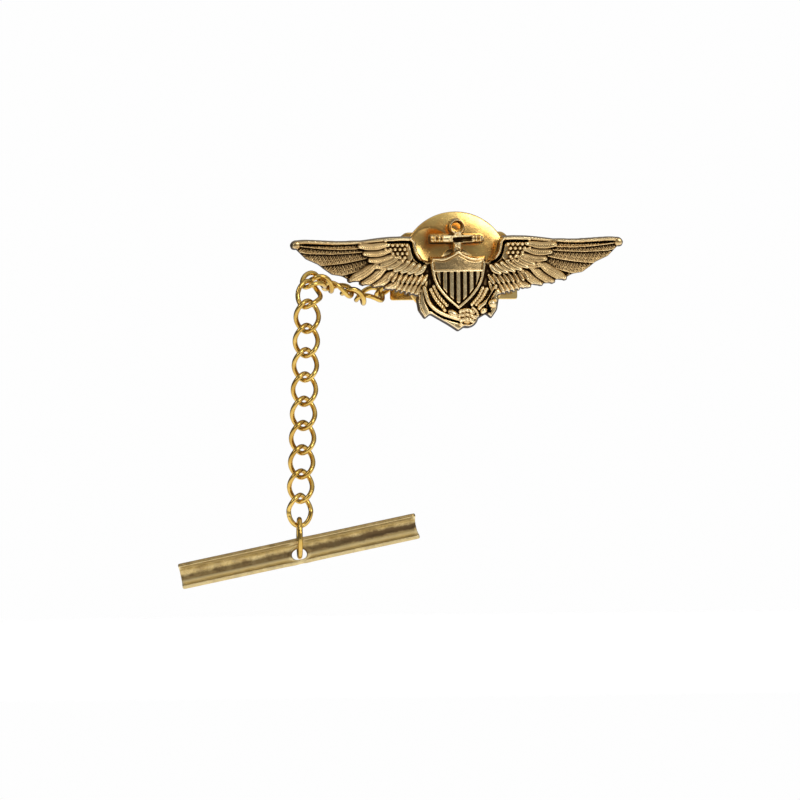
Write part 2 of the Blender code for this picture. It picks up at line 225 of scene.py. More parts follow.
def curve_coordinates(points, x, z):
    """For each place: the share of the way along a polyline, and the signed distance off it."""
    starts, ends = points[:-1], points[1:]
    lengths = np.linalg.norm(ends - starts, axis=1)
    total = lengths.sum()
    nearest = np.full(x.shape, 1e9)
    share = np.zeros(x.shape)
    side = np.ones(x.shape)
    before = 0.0
    for (ax, az), (bx, bz), length in zip(starts, ends, lengths):
        dx, dz = bx - ax, bz - az
        t = np.clip(((x - ax) * dx + (z - az) * dz) / length**2, 0, 1)
        ox, oz = x - ax - t * dx, z - az - t * dz
        squared = ox * ox + oz * oz
        closer = squared < nearest
        nearest = np.where(closer, squared, nearest)
        share = np.where(closer, (before + t * length) / total, share)
        side = np.where(closer, np.sign(dx * oz - dz * ox), side)
        before += length
    return share, np.sqrt(nearest) * side


def feather(relief, points, width, level, crown, barb=0.0, tip=0.55, quill=0.03, tilt=0.0, rise=0.0):
    """One feather: a crowned leaf along a curve, with a rounded tip, a quill and slanted barbs."""
    curve = smooth_curve(points, 8)
    near, x, z = relief.window(curve, width + 0.1, True)
    share, off = curve_coordinates(curve, x, z)
    length = np.linalg.norm(np.diff(curve, axis=0), axis=1).sum()
    taper = np.sqrt(1 - (1 - tip**2) * step_up(share, 1 - 2.2 * width / length, 1.0) ** 2)
    half = width * (0.72 + 0.28 * step_up(share, 0.0, 0.4)) * taper
    across = np.clip(np.abs(off) / half, 0, 1)
    height = level + rise * share + crown * np.sqrt(1 - across**2) - tilt * off / half
    height += quill * np.exp(-((off / 0.045) ** 2)) * step_up(share, 0.0, 0.1) * (1 - step_up(share, 0.85, 1.0))
    phase = (share * length + 0.9 * np.abs(off)) / 0.19
    height += barb * np.sin(2 * np.pi * phase) * (1 - across**4)
    relief.raise_to(near, half - np.abs(off), height)


def vane(relief, lower_edge, level, width):
    """A long flat feather: all that lies above its lower edge, with a raised rim, a quill and barbs."""
    edge = smooth_curve(lower_edge, 8)
    near = (relief.side > edge[:, 0].min()) & (relief.z > edge[:, 1].min() - 0.1)
    share, off = curve_coordinates(edge, relief.side[near], relief.z[near])
    along = share * np.linalg.norm(np.diff(edge, axis=0), axis=1).sum()
    height = level - 0.17 * np.clip(off / width, 0, 1.2)
    height += 0.07 * np.exp(-(((off - 0.07) / 0.05) ** 2))
    height += 0.045 * np.exp(-(((off - 0.5 * width) / 0.05) ** 2)) * (width > 0.6)
    barbs = np.sin(2 * np.pi * (along + 0.8 * off) / 0.23) + 0.6 * np.sin(2 * np.pi * (along - 0.5 * off) / 0.37)
    height += 0.032 * barbs * step_up(off, 0.1, 0.2)
    relief.height[near] = np.where(off > 0, height, relief.height[near])


def bead(relief, points, width, level, crown, mirror=True, power=0.5, spread=0.09, steps=8):
    """A rounded ridge along a curve."""
    curve = smooth_curve(points, steps)
    near, x, z = relief.window(curve, width + 0.1, mirror)
    share, off = curve_coordinates(curve, x, z)
    across = np.clip(np.abs(off) / width, 0, 1)
    relief.raise_to(near, width - np.abs(off), level + crown * (1 - across**2) ** power, spread)
    return near, share, off


def groove(relief, points, width, depth, mirror=True):
    """A soft groove along a curve."""
    curve = smooth_curve(points, 8)
    near, x, z = relief.window(curve, width + 0.1, mirror)
    off = np.abs(curve_coordinates(curve, x, z)[1])
    relief.press(near, width - off, depth, width)


def dome(relief, centre, radii, level, crown, turn=0.0, mirror=True, spread=0.09):
    """A round or oval button."""
    reach = max(radii)
    near, x, z = relief.window([centre, centre], reach + 0.1, mirror)
    c, s = math.cos(math.radians(turn)), math.sin(math.radians(turn))
    u = ((x - centre[0]) * c + (z - centre[1]) * s) / radii[0]
    v = ((z - centre[1]) * c - (x - centre[0]) * s) / radii[1]
    away = np.sqrt(u * u + v * v)
    height = level + crown * np.sqrt(np.clip(1 - away**2, 0, 1))
    relief.raise_to(near, (1 - away) * min(radii), height, spread)


def feather_fan(relief, count, bases, tips, width, level, step, crown, sag=0.0, **finish):
    """A row of feathers whose bases and tips follow two curves."""
    for i in range(count):
        share = i / (count - 1)
        base, tip = at_share(bases, share), at_share(tips, share)
        middle = (base + tip) / 2
        normal = np.array((base[1] - tip[1], tip[0] - base[0])) / np.linalg.norm(tip - base)
        middle = middle - normal * sag
        feather(relief, (base, middle, tip), width, level - step * i, crown, **finish)


def primaries(relief):
    """The long flight feathers from the lowest up, each lying over the last, under a smooth leading band."""
    lower_edges = (
        ((7.6, -0.55), (8.8, -1.03), (9.63, -1.4), (10.67, -1.38), (11.4, -1.3)),
        ((8.3, 0.1), (9.35, -0.4), (11.0, -0.84), (12.3, -0.74), (13.0, -0.78)),
        ((8.4, 0.85), (9.35, 0.58), (11.0, 0.28), (12.65, 0.12), (13.7, 0.14), (14.4, 0.12)),
        ((8.6, 1.4), (9.9, 1.27), (12.1, 1.17), (14.3, 1.25), (15.2, 1.42), (16.2, 1.25)),
        ((8.6, 1.7), (11.0, 1.61), (12.65, 1.67), (14.0, 1.8), (15.6, 2.0)),
    )
    widths = (0.75, 0.9, 0.95, 0.45, 0.45)
    for i, (edge, width) in enumerate(zip(lower_edges, widths)):
        vane(relief, edge, PRIMARY - 0.16 + 0.055 * i, width)
    band = ((4.4, 2.62), (6.6, 2.6), (9.2, 2.34), (11.6, 2.28), (14.4, 2.42), (15.5, 2.36))
    bead(relief, band, 0.21, PRIMARY + 0.1, 0.17, power=0.4)
    dome(relief, (15.5, 2.12), (0.52, 0.44), PRIMARY + 0.02, 0.3, turn=-35, spread=0.3)
    groove(relief, ((7.0, 2.3), (9.8, 2.08), (12.2, 2.0), (15.1, 2.12)), 0.09, 0.3)


def secondaries(relief):
    """The shorter, wider feathers along the lower edge, and the hanging row next to the flukes."""
    bases = ((7.8, 0.3), (6.9, -0.15), (6.1, -0.7), (5.7, -1.2))
    tips = ((10.3, -1.3), (8.95, -1.68), (7.75, -1.85), (6.85, -2.05))
    feather_fan(relief, 4, bases, tips, 0.45, PRIMARY, 0.0, 0.2, sag=0.14, quill=0.06, barb=0.016, tip=0.6, tilt=0.12)
    bases = ((5.75, -1.5), (4.7, -1.65), (3.05, -1.6))
    tips = ((6.3, -2.15), (5.15, -2.5), (3.55, -2.8))
    feather_fan(relief, 7, bases, tips, 0.25, PRIMARY - 0.04, 0.0, 0.2, quill=0.06, tip=0.75, tilt=0.06, rise=0.06)


def coverts(relief):
    """Three tiers of short feathers over the bases of the long ones."""
    bases = ((6.7, 2.1), (6.4, 1.3), (6.0, 0.45))
    tips = ((9.3, 1.95), (8.95, 1.38), (8.45, 0.7), (7.8, 0.0))
    feather_fan(relief, 4, bases, tips, 0.36, COVERT, 0.02, 0.17, sag=0.14, quill=0.03, barb=0.01, tip=0.75, tilt=0.1)
    bases = ((5.7, 0.9), (4.7, 0.35), (3.2, -0.1))
    tips = ((7.3, 0.1), (5.9, -0.4), (4.0, -0.7))
    feather_fan(relief, 6, bases, tips, 0.29, COVERT, 0.0, 0.16, sag=0.08, quill=0.04, tip=0.8, tilt=0.08, rise=0.1)
    bases = ((6.35, -0.55), (4.9, -0.85), (3.0, -0.95))
    tips = ((6.75, -1.3), (5.4, -1.5), (3.45, -1.65))
    feather_fan(relief, 8, bases, tips, 0.24, COVERT - 0.16, 0.0, 0.18, quill=0.05, tip=0.8, tilt=0.08, rise=0.16)


def shoulder(relief):
    """The plain bar and the S-shaped rim at the wing's root, and the patch of scales they frame."""
    dome(relief, (5.5, 1.3), (1.35, 1.25), SHOULDER - 0.16, 0.1)
    for row in range(5):
        for column in range(5 - row // 2):
            x = 4.85 + 0.46 * column + 0.23 * (row % 2)
            z = 1.98 - 0.4 * row
            dome(relief, (x, z), (0.2, 0.19), SHOULDER - 0.08, 0.24)
    bead(relief, ((4.5, 2.6), (5.6, 2.62), (6.9, 2.5)), 0.22, SHOULDER, 0.16)
    rim = ((4.5, 2.62), (4.18, 2.3), (4.06, 1.7), (3.87, 1.15), (3.52, 0.74), (3.05, 0.56), (2.6, 0.6))
    bead(relief, rim, 0.2, SHOULDER + 0.06, 0.24)
    groove(relief, ((6.7, 2.28), (4.72, 2.24), (4.42, 1.75), (4.25, 1.05), (3.85, 0.5), (3.2, 0.2)), 0.15, 0.45)


def shield_edges():
    """The shield's outline as edges: two hollow arcs meeting in a peak, and sides that curve in to a point."""
    top = smooth_curve(((0.0, 1.46), (0.55, 1.12), (1.5, 0.72), (2.72, 0.92)), 6)
    side = smooth_curve(((2.72, 0.92), (2.56, -0.6), (2.18, -1.85), (1.32, -3.05), (0.0, -4.25)), 8)
    right = np.concatenate((top[:-1], side))
    loop = np.concatenate((right, right[-2:0:-1] * (-1, 1)))
    return list(zip(map(tuple, loop), map(tuple, np.roll(loop, -1, axis=0))))


def shield(relief):
    """The domed shield: raised border, plain chief over a ridge, and upright ribs."""
    inside = relief.distance_inside(shield_edges())
    x, z = relief.x, relief.z
    chief = -0.52
    level = SHIELD + 0.3 * (1 - (x / 2.75) ** 2) * (1 - ((z + 1.0) / 4.2) ** 2)
    pitch = 0.635
    wave = np.abs(np.cos(np.pi * (x + 0.02) / pitch))
    groove_share = (1 - step_up(wave, 0.35, 0.75)) * step_up(inside, 0.3, 0.36)
    rim_gap = np.exp(-(((inside - 0.36) / 0.06) ** 2))
    field = (z < chief) & (inside > 0.26) & (np.abs(x) < 3.45 * pitch)
    height = level - 0.04 - np.where(field, 0.42 * np.maximum(groove_share, 0.7 * rim_gap), 0.0)
    border = np.clip(np.abs(inside - 0.14) / 0.14, 0, 1)
    height += 0.13 * np.sqrt(1 - border**2)
    height -= 0.08 * (1 - np.clip(np.abs(inside - 0.34) / 0.08, 0, 1)) * (z > chief)
    ridge = np.clip(np.abs(z - chief) / 0.1, 0, 1)
    height = np.where((inside > 0.25) & (ridge < 1), level + 0.08 * np.sqrt(1 - ridge**2), height)
    wall = level - 0.9 + inside / 0.05 * 0.9
    height = np.minimum(height, np.maximum(wall, ARM))
    relief.height = np.where(inside > 0, height, relief.height)
    relief.inside = np.maximum(relief.inside, np.minimum(inside, relief.outline + 0.09))


def anchor_arms(relief):
    """The anchor's arms round the shield's foot: flat faces under a bright ridge, ending in the flukes."""
    def flat(points, width, level, spread=0.0):
        bead(relief, points, width, level, 0.08, mirror=False, power=0.3, spread=spread)

    flat(((-2.7, -4.75), (-1.5, -5.25), (-0.5, -5.7), (0.1, -5.9)), 0.4, ARM - 0.1)
    flat(((0.0, -5.85), (0.7, -5.5), (1.4, -5.1)), 0.36, ARM - 0.12)
    flat(((-3.4, -2.6), (-3.42, -3.6), (-3.05, -4.75)), 0.36, ARM - 0.1)
    flat(((3.7, -2.7), (3.62, -3.8), (3.2, -4.75)), 0.34, ARM - 0.1)
    groove(relief, ((-3.3, -2.3), (-3.08, -3.5), (-2.6, -4.2), (-1.76, -4.84), (-0.8, -5.2), (0.15, -5.45)), 0.13, 0.4, False)
    groove(relief, ((-3.62, -2.5), (-3.68, -3.6), (-3.4, -4.4), (-3.02, -5.0)), 0.07, 0.18, False)
    ridge = ((-3.25, -2.1), (-2.87, -3.4), (-2.3, -4.12), (-1.45, -4.64), (-0.5, -4.98), (0.1, -5.15))
    bead(relief, ridge, 0.19, ARM + 0.02, 0.28, mirror=False)
    bead(relief, ((3.6, -2.0), (3.3, -2.75), (2.85, -3.35), (2.1, -3.95)), 0.18, ARM + 0.02, 0.28, mirror=False)
    groove(relief, ((3.5, -2.4), (3.05, -3.15), (2.78, -3.8), (3.05, -4.4)), 0.2, 0.6, False)
    dome(relief, (3.27, -3.68), (0.42, 0.42), ARM, 0.42, mirror=False)


def rope(relief):
    """The rope that fouls the anchor: strands beside the shield, knuckles at the crown and a round knot."""
    for points in (
        ((-2.62, -2.3), (-2.15, -3.2), (-1.45, -4.05)),
        ((-2.3, -2.0), (-1.85, -2.9), (-1.1, -3.8)),
        ((2.75, -2.3), (2.3, -3.1), (1.75, -3.75)),
        ((2.35, -2.2), (1.95, -3.0), (1.3, -3.75)),
    ):
        near, share, off = bead(relief, points, 0.2, ARM - 0.2, 0.24, mirror=False)
        relief.height[near] += twist(share, off, 0.2, 7)
    dome(relief, (-1.35, -4.25), (0.26, 0.2), ARM - 0.02, 0.3, turn=-40, mirror=False)
    dome(relief, (-0.5, -4.62), (0.6, 0.34), ARM + 0.02, 0.36, turn=-32, mirror=False)
    dome(relief, (2.05, -4.0), (0.34, 0.22), ARM, 0.3, turn=60, mirror=False)
    dome(relief, (2.42, -4.35), (0.36, 0.26), ARM - 0.04, 0.3, turn=25, mirror=False)
    dome(relief, (0.82, -4.82), (0.86, 0.78), ARM - 0.05, 0.36, mirror=False, spread=0.3)
    for points in (((0.2, -4.4), (0.8, -4.3), (1.35, -4.5)), ((0.1, -4.8), (0.8, -4.72), (1.5, -4.95)),
                   ((0.25, -5.25), (0.8, -5.12), (1.3, -5.3))):
        near, share, off = bead(relief, points, 0.23, ARM + 0.14, 0.26, mirror=False)
        relief.height[near] += twist(share, off, 0.23, 3)
    around = [(0.85 + 0.98 * math.cos(a), -4.9 + 0.95 * math.sin(a)) for a in np.linspace(-2.3, 1.0, 9)]
    near, share, off = bead(relief, around, 0.17, ARM - 0.02, 0.26, mirror=False, spread=0.3)
    relief.height[near] += twist(share, off, 0.17, 12)


def twist(share, off, width, turns):
    """The slanting hollows between the strands of a laid rope."""
    strands = np.cos(2 * np.pi * (share * turns + off / width * 0.35))
    return -0.07 * step_up(strands, 0.2, 1.0) * (np.abs(off) < width)


def anchor_head(relief):
    """The stock with its banded ends, the shank with a turn of rope, and the ring."""
    near, share, off = bead(relief, ((-0.05, 1.2), (-0.05, 3.2)), 0.46, STOCK, 0.22, mirror=False)
    stock = ((-2.4, 2.57), (2.15, 2.57))
    near, share, off = bead(relief, stock, 0.5, STOCK + 0.02, 0.36, mirror=False, power=0.6, spread=0.2)
    x = relief.x[near]
    bands = np.cos(2 * np.pi * (np.abs(x) - 1.35) / 0.42) * step_up(np.abs(x), 1.3, 1.45)
    relief.height[near] += 0.15 * bands * (np.abs(off) < 0.48)
    z = relief.z[near] - 2.45
    hollow = np.clip(1 - np.abs((x - 0.5) / 1.0) ** 4, 0, 1) * np.clip(1 - ((z - 0.06 * x) / 0.26) ** 2, 0, 1)
    relief.height[near] -= 0.6 * np.sqrt(hollow)
    near, share, off = bead(relief, ((0.0, 3.2), (-0.55, 2.7), (-0.85, 2.1)), 0.15, STOCK + 0.2, 0.22, mirror=False)
    relief.height[near] += twist(share, off, 0.15, 4)
    near, share, off = bead(relief, ((-0.6, 2.05), (0.0, 1.75), (0.55, 1.5)), 0.15, STOCK + 0.12, 0.22, mirror=False)
    relief.height[near] += twist(share, off, 0.15, 4)
    ring = [(-0.02 + 0.64 * math.cos(a), 3.7 + 0.64 * math.sin(a)) for a in np.linspace(0, 2 * np.pi, 17)]
    bead(relief, ring, 0.22, STOCK, 0.26, mirror=False, steps=3)


def blurred(field, mask, width):
    """A field blurred over a width, counting only the masked places."""
    frequencies = [np.fft.fftfreq(n, GRID) for n in field.shape]
    falloff = np.exp(-2 * (np.pi * width) ** 2 * (frequencies[0][:, None] ** 2 + frequencies[1][None, :] ** 2))
    soft = np.fft.ifft2(np.fft.fft2(field * mask) * falloff).real
    weight = np.fft.ifft2(np.fft.fft2(mask) * falloff).real
    return soft / np.maximum(weight, 0.05)


def relief_mesh(relief):
    """The closed mesh of the struck emblem: its face, its edge wall and its back."""
    inside = blurred(relief.inside, np.ones(relief.inside.shape), 0.035)
    wall = RIM + np.clip(inside, 0, None) * (6.5 - 2.6 * step_up(-relief.z, 2.2, 3.2))
    height = np.minimum(relief.height, wall)
    mask = (inside > 0).astype(float)
    height = np.where(mask > 0, height, RIM)
    recess = blurred(height, mask, 0.13) - height
    broad = blurred(height, mask, 0.3) - height
    cells = mask[:-1, :-1] + mask[1:, :-1] + mask[:-1, 1:] + mask[1:, 1:] > 0
    used = np.zeros(mask.shape, bool)
    for rows in (slice(None, -1), slice(1, None)):
        for columns in (slice(None, -1), slice(1, None)):
            used[rows, columns] |= cells
    slope_z, slope_x = np.gradient(inside, GRID)
    steep = np.maximum(slope_x**2 + slope_z**2, 0.2)
    outer = used & (mask == 0)
    x = relief.x - np.where(outer, inside * slope_x / steep, 0)
    z = relief.z - np.where(outer, inside * slope_z / steep, 0)
    height = np.where(outer, RIM, height)
    number = np.full(mask.shape, -1)
    count = int(used.sum())
    number[used] = np.arange(count)
    depth_in = blurred(mask, np.ones(mask.shape), 0.45)
    hollow = 0.22 * step_up(depth_in, 0.72, 0.97) * step_up(np.hypot(x, z), 2.3, 3.4)
    face = np.stack((x[used], BACK - height[used], z[used]), axis=1)
    back = np.stack((x[used], BACK - hollow[used], z[used]), axis=1)
    corner = [number[:-1, :-1][cells], number[:-1, 1:][cells], number[1:, 1:][cells], number[1:, :-1][cells]]
    front_faces = np.stack(corner, axis=1)
    back_faces = front_faces[:, ::-1] + count
    walls = edge_walls(cells, number, count)
    points = np.concatenate((face, back))
    mesh = mesh_from("wings_emblem", points, np.concatenate((front_faces, back_faces, walls)))
    recess_values = mesh.attributes.new("recess", "FLOAT", "POINT")
    near_edge = 1 - step_up(inside - 0.1 * step_up(-relief.z, 2.2, 3.2), 0.12, 0.26)
    # Painted shading for the emblem's colour: patina in the hollows, together with painted shade in the creases and
    # under each feather's overlapping edge.
    patina_and_painted_shading = recess * 8 + broad * 2.6
    # Towards the wing tips the high places brighten less and the wings grow darker.
    patina_and_painted_shading = np.where(patina_and_painted_shading < 0, patina_and_painted_shading * (1 - 0.5 * step_up(relief.side, 5.0, 9.0)), patina_and_painted_shading)
    patina_and_painted_shading += 0.12 * step_up(relief.side, 3.0, 5.0) + 0.24 * step_up(relief.side, 7.0, 9.5)
    # Painted light: the right wing is painted lighter.
    patina_and_painted_shading -= 0.1 * step_up(relief.x, 5.0, 9.0)
    # Near the edges the darkening is capped at a dark brown.
    patina_and_painted_shading = np.where(near_edge > 0.5, np.minimum(patina_and_painted_shading, 0.6), patina_and_painted_shading)
    # Painted light on the upper edges, where the edge darkening is cleared, and a painted shadow along the lower edges.
    patina_and_painted_shading = patina_and_painted_shading * (1 - 0.9 * near_edge * step_up(-slope_z, 0.2, 0.7)) + 0.3 * near_edge * step_up(slope_z, 0.3, 0.8)
    depth = np.concatenate((patina_and_painted_shading[used], np.zeros(count)))
    recess_values.data.foreach_set("value", depth.astype(np.float32))
    return mesh


def edge_walls(cells, number, count):
    """The quads that join the face's border to the back's."""
    padded = np.pad(cells, 1)
    rows, columns = cells.shape
    walls = []
    sides = (
        ((-1, 0), (0, 0), (0, 1)),
        ((0, 1), (0, 1), (1, 1)),
        ((1, 0), (1, 1), (1, 0)),
        ((0, -1), (1, 0), (0, 0)),
    )
    for (dr, dc), first, second in sides:
        open_side = cells & ~padded[1 + dr : 1 + dr + rows, 1 + dc : 1 + dc + columns]
        r, c = np.nonzero(open_side)
        a = number[r + first[0], c + first[1]]
        b = number[r + second[0], c + second[1]]
        walls.append(np.stack((b, a, a + count, b + count), axis=1))
    return np.concatenate(walls)


def emblem(finish):
    """The whole struck emblem."""
    relief = Relief()
    primaries(relief)
    secondaries(relief)
    coverts(relief)
    shoulder(relief)
    anchor_head(relief)
    anchor_arms(relief)
    rope(relief)
    shield(relief)
    mesh = relief_mesh(relief)
    mesh.shade_smooth()
    return place("wings_emblem", mesh, "badge", "wings_badge", finish, "badge_gold")


# ---------------------------------------------------------------- turned pieces


def lathe(name, profile, sides, wobble=None):
    """A closed (radius, Y) profile turned about the post's axis. A radius of 0 closes the end."""
    points, faces = [], []
    rings = []
    for radius, depth in profile:
        if radius == 0.0:
            rings.append([len(points)] * sides)
            points.append((0.0, depth, 0.0))
            continue
        rings.append(list(range(len(points), len(points) + sides)))
        for i in range(sides):
            angle = 2 * math.pi * i / sides
            r = radius * (1 + wobble(angle, radius, depth)) if wobble else radius
            points.append((r * math.cos(angle), depth, r * math.sin(angle)))
    closed = profile[0][0] > 0.0
    pairs = list(zip(rings, rings[1:])) + ([(rings[-1], rings[0])] if closed else [])
    for lower, upper in pairs:
        for i in range(sides):
            k = (i + 1) % sides
            face = [lower[i], upper[i], upper[k], lower[k]]
            faces.append(list(dict.fromkeys(face)))
    return mesh_from(name, points, faces)


def rounded_profile(corners, radius, steps=4):
    """A closed (radius, Y) polygon with rounded corners."""
    out = []
    count = len(corners)
    for i, corner in enumerate(corners):
        corner = np.array(corner, float)
        before = np.array(corners[i - 1], float) - corner
        after = np.array(corners[(i + 1) % count], float) - corner
        cut = min(radius, 0.45 * np.linalg.norm(before), 0.45 * np.linalg.norm(after))
        a = corner + before / np.linalg.norm(before) * cut
        b = corner + after / np.linalg.norm(after) * cut
        for k in range(steps + 1):
            t = k / steps
            out.append(tuple((1 - t) ** 2 * a + 2 * t * (1 - t) * corner + t * t * b))
    return out


def tack_post(finish):
    """The tack post: a pin with two gripping grooves and a worn point."""
    low, high = box_mm("tack_post")
    radius = high.x
    foot, tip = low.y, high.y
    profile = [(0.0, foot), (radius * 0.96, foot), (radius, foot + 0.05), (radius, tip - 3.65)]
    for waist in (tip - 3.4, tip - 2.4):
        for k in range(9):
            share = k / 8
            dip = 0.28 * math.sin(math.pi * share) ** 2
            profile.append((radius * (1 - dip), waist - 0.25 + 0.6 * share))
    for k in range(11):
        share = k / 10
        profile.append((radius * (1 - share**1.6 * 0.9), tip - 1.95 + 1.93 * share))
    profile.append((0.0, tip))
    mesh = lathe("post_pin", profile, 48)
    shade(mesh, 60)
    return place("post_pin", mesh, "badge", "tack_post", finish, "post_gold")


def post_pad(finish):
    """The post's foot: a flanged collar in a slightly uneven fillet of solder."""
    low, high = box_mm("post_pad")
    hole = box_mm("tack_post")[1].x + 0.02
    foot, top, rim = low.y, high.y, high.x
    profile = [(hole, top), (hole, foot), (rim * 0.98, foot), (rim, foot + 0.05)]
    for k in range(12):
        share = k / 11
        profile.append((rim - (rim - 0.86) * share**0.8, foot + 0.16 + (top - foot - 0.18) * share**2.4))

    def uneven(angle, radius, depth):
        return 0.02 * math.sin(3 * angle + 1.0) * (radius > 1.2) + 0.012 * math.sin(7 * angle) * (radius > 1.2)

    mesh = lathe("post_collar", profile, 64, uneven)
    shade(mesh, 60)
    return place("post_collar", mesh, "badge", "post_pad", finish, "pad_gold")


def clutch_disc(finish):
    """The stamped disc: domed to its rolled rim, with two shallow pockets pressed on opposite sides of the post."""
    low, high = box_mm("clutch_base")
    front, rim = low.y, high.x
    hole = 0.7
    swell = high.y - low.y - SHEET

    def surface(r):
        return front + swell * (r / rim) ** 4

    radii = np.linspace(hole, rim - 0.12, 64)
    lower = [(r, surface(r)) for r in radii]
    upper = [(r, surface(r) + SHEET) for r in radii[::-1]]
    edge = []
    for k in range(9):
        angle = math.pi * k / 8
        middle = surface(rim - 0.12) + 0.5 * SHEET
        edge.append((rim - 0.12 + 0.12 * math.sin(angle), middle - 0.5 * SHEET * math.cos(angle)))
    mesh = lathe("clutch_disc", lower + edge + upper, 180)
    for vertex in mesh.vertices:
        x, z = vertex.co.x / MM, vertex.co.z / MM
        if x > 0:
            x, z = -x, -z
        away = math.hypot((x + 2.45) / 1.8, (z - 2.1) / 1.6)
        vertex.co.y += 0.24 * MM * (1 - min(away, 1.0) ** 2)
    shade(mesh, 55)
    return place("clutch_disc", mesh, "clutch", "clutch_base", finish, "clutch_gold")


# ---------------------------------------------------------------- bent sheet


def punched(name, loops, thickness, edge=SHEET_EDGE):
    """A flat plate in the XY plane with softened edges, cut from sheet. The first loop is its outline."""
    data = bpy.data.curves.new(name, "CURVE")
    data.dimensions = "2D"
    data.fill_mode = "BOTH"
    data.extrude = (thickness / 2 - edge) * MM
    data.bevel_depth = edge * MM
    data.bevel_resolution = 2
    data.offset = -edge * MM
    for loop in loops:
        spline = data.splines.new("POLY")
        spline.points.add(len(loop) - 1)
        for point, (x, y) in zip(spline.points, loop):
            point.co = (x * MM, y * MM, 0.0, 1.0)
        spline.use_cyclic_u = True
    guide = bpy.data.objects.new(name, data)
    bpy.context.scene.collection.objects.link(guide)
    bpy.context.view_layer.update()
    mesh = bpy.data.meshes.new_from_object(guide.evaluated_get(bpy.context.evaluated_depsgraph_get()))
    bpy.data.objects.remove(guide)
    work = bmesh.new()
    work.from_mesh(mesh)
    bmesh.ops.remove_doubles(work, verts=work.verts, dist=1e-7)
    work.to_mesh(mesh)
    work.free()
    return mesh


def bent(mesh, cuts_x, cuts_y, shape):
    """Cuts a flat plate along lines of constant X and Y, then moves each point to shape(x, y, z)."""
    work = bmesh.new()
    work.from_mesh(mesh)
    for values, normal in ((cuts_x, (1, 0, 0)), (cuts_y, (0, 1, 0))):
        for value in values:
            spot = Vector(normal) * value * MM
            everything = work.verts[:] + work.edges[:] + work.faces[:]
            bmesh.ops.bisect_plane(work, geom=everything, plane_co=spot, plane_no=normal, dist=1e-8)
    for vertex in work.verts:
        vertex.co = Vector(shape(*(vertex.co / MM))) * MM
    bmesh.ops.recalc_face_normals(work, faces=work.faces)
    work.to_mesh(mesh)
    work.free()
    return mesh


def along_path(path):
    """A function that gives the place and the normal at a distance along a path of (a, b) points."""
    path = np.asarray(path, float)
    lengths = np.concatenate(([0.0], np.cumsum(np.linalg.norm(np.diff(path, axis=0), axis=1))))

    def at(distance):
        a = np.interp(distance, lengths, path[:, 0])
        b = np.interp(distance, lengths, path[:, 1])
        step = 0.05
        da = np.interp(distance + step, lengths, path[:, 0]) - np.interp(distance - step, lengths, path[:, 0])
        db = np.interp(distance + step, lengths, path[:, 1]) - np.interp(distance - step, lengths, path[:, 1])
        size = math.hypot(da, db)
        return a, b, -db / size, da / size

    return at, lengths[-1]


def circle(centre, radius, sides=32):
    """Points round a circle."""
    steps = [2 * math.pi * i / sides for i in range(sides)]
    return [(centre[0] + radius * math.cos(a), centre[1] + radius * math.sin(a)) for a in steps]


def squeeze_ear(side, finish):
    """One ear of the clutch, punched flat and bent: jaw on the post, riser, and a blade with a raised bead."""
    node = "squeeze_wing_left" if side < 0 else "squeeze_wing_right"
    low, high = box_mm(node)
    tip_x = max(abs(low.x), abs(high.x)) - 0.02
    half = high.z
    jaw_y = 4.95 if side < 0 else 5.6
    hinge_y = 4.15
    blade = [(3.2 + (tip_x - 3.2) * t, hinge_y + 0.1 + (5.7 - hinge_y - 0.1) * t**1.3) for t in np.linspace(0, 1, 12)]
    path = smooth_curve([(-1.1, jaw_y), (0.3, jaw_y), (1.6, jaw_y), (2.15, hinge_y + 0.1)] + blade, 5)
    at, length = along_path(path)
    jaw = 2.45
    neck = at_distance(path, 2.65)
    outline = [(0.0, -jaw), (neck, -jaw), (neck, -half), (length, -half), (length, half - 1.2)]
    outline += [(length - 1.7, half), (neck, half), (neck, jaw), (0.0, jaw)]
    slot = [(0.55, -0.6), (2.15, -0.6), (2.15, 0.6), (0.55, 0.6)]
    loops = [rounded_profile(outline, 0.28), rounded_profile(slot, 0.2)]
    if side < 0:
        loops.append(circle((at_distance(path, 5.38), -1.23), 0.6))
    mesh = punched(node, loops, SHEET)

    def shape(s, t, n):
        a, b, na, nb = at(s)
        rib = 0.1 * math.exp(-(((abs(t) - 2.45) / 0.28) ** 2)) * float(step_up(s, neck + 0.4, neck + 0.9))
        rib *= float(1 - step_up(s, length - 0.9, length - 0.4))
        lift = n + rib
        return side * (a + na * lift), b + nb * lift, t

    cuts_across = np.concatenate((np.arange(1.9, 3.1, 0.12), -np.arange(1.9, 3.1, 0.12)))
    mesh = bent(mesh, np.arange(0.1, length, 0.14), cuts_across, shape)
    shade(mesh, 40)
    body = "left_ear" if side < 0 else "right_ear"
    name = "clutch_ear_left" if side < 0 else "clutch_ear_right"
    return place(name, mesh, body, node, finish, "ear_gold")


def at_distance(path, x):
    """How far along a path its first coordinate reaches x."""
    lengths = np.concatenate(([0.0], np.cumsum(np.linalg.norm(np.diff(path, axis=0), axis=1))))
    return float(np.interp(x, path[:, 0], lengths))


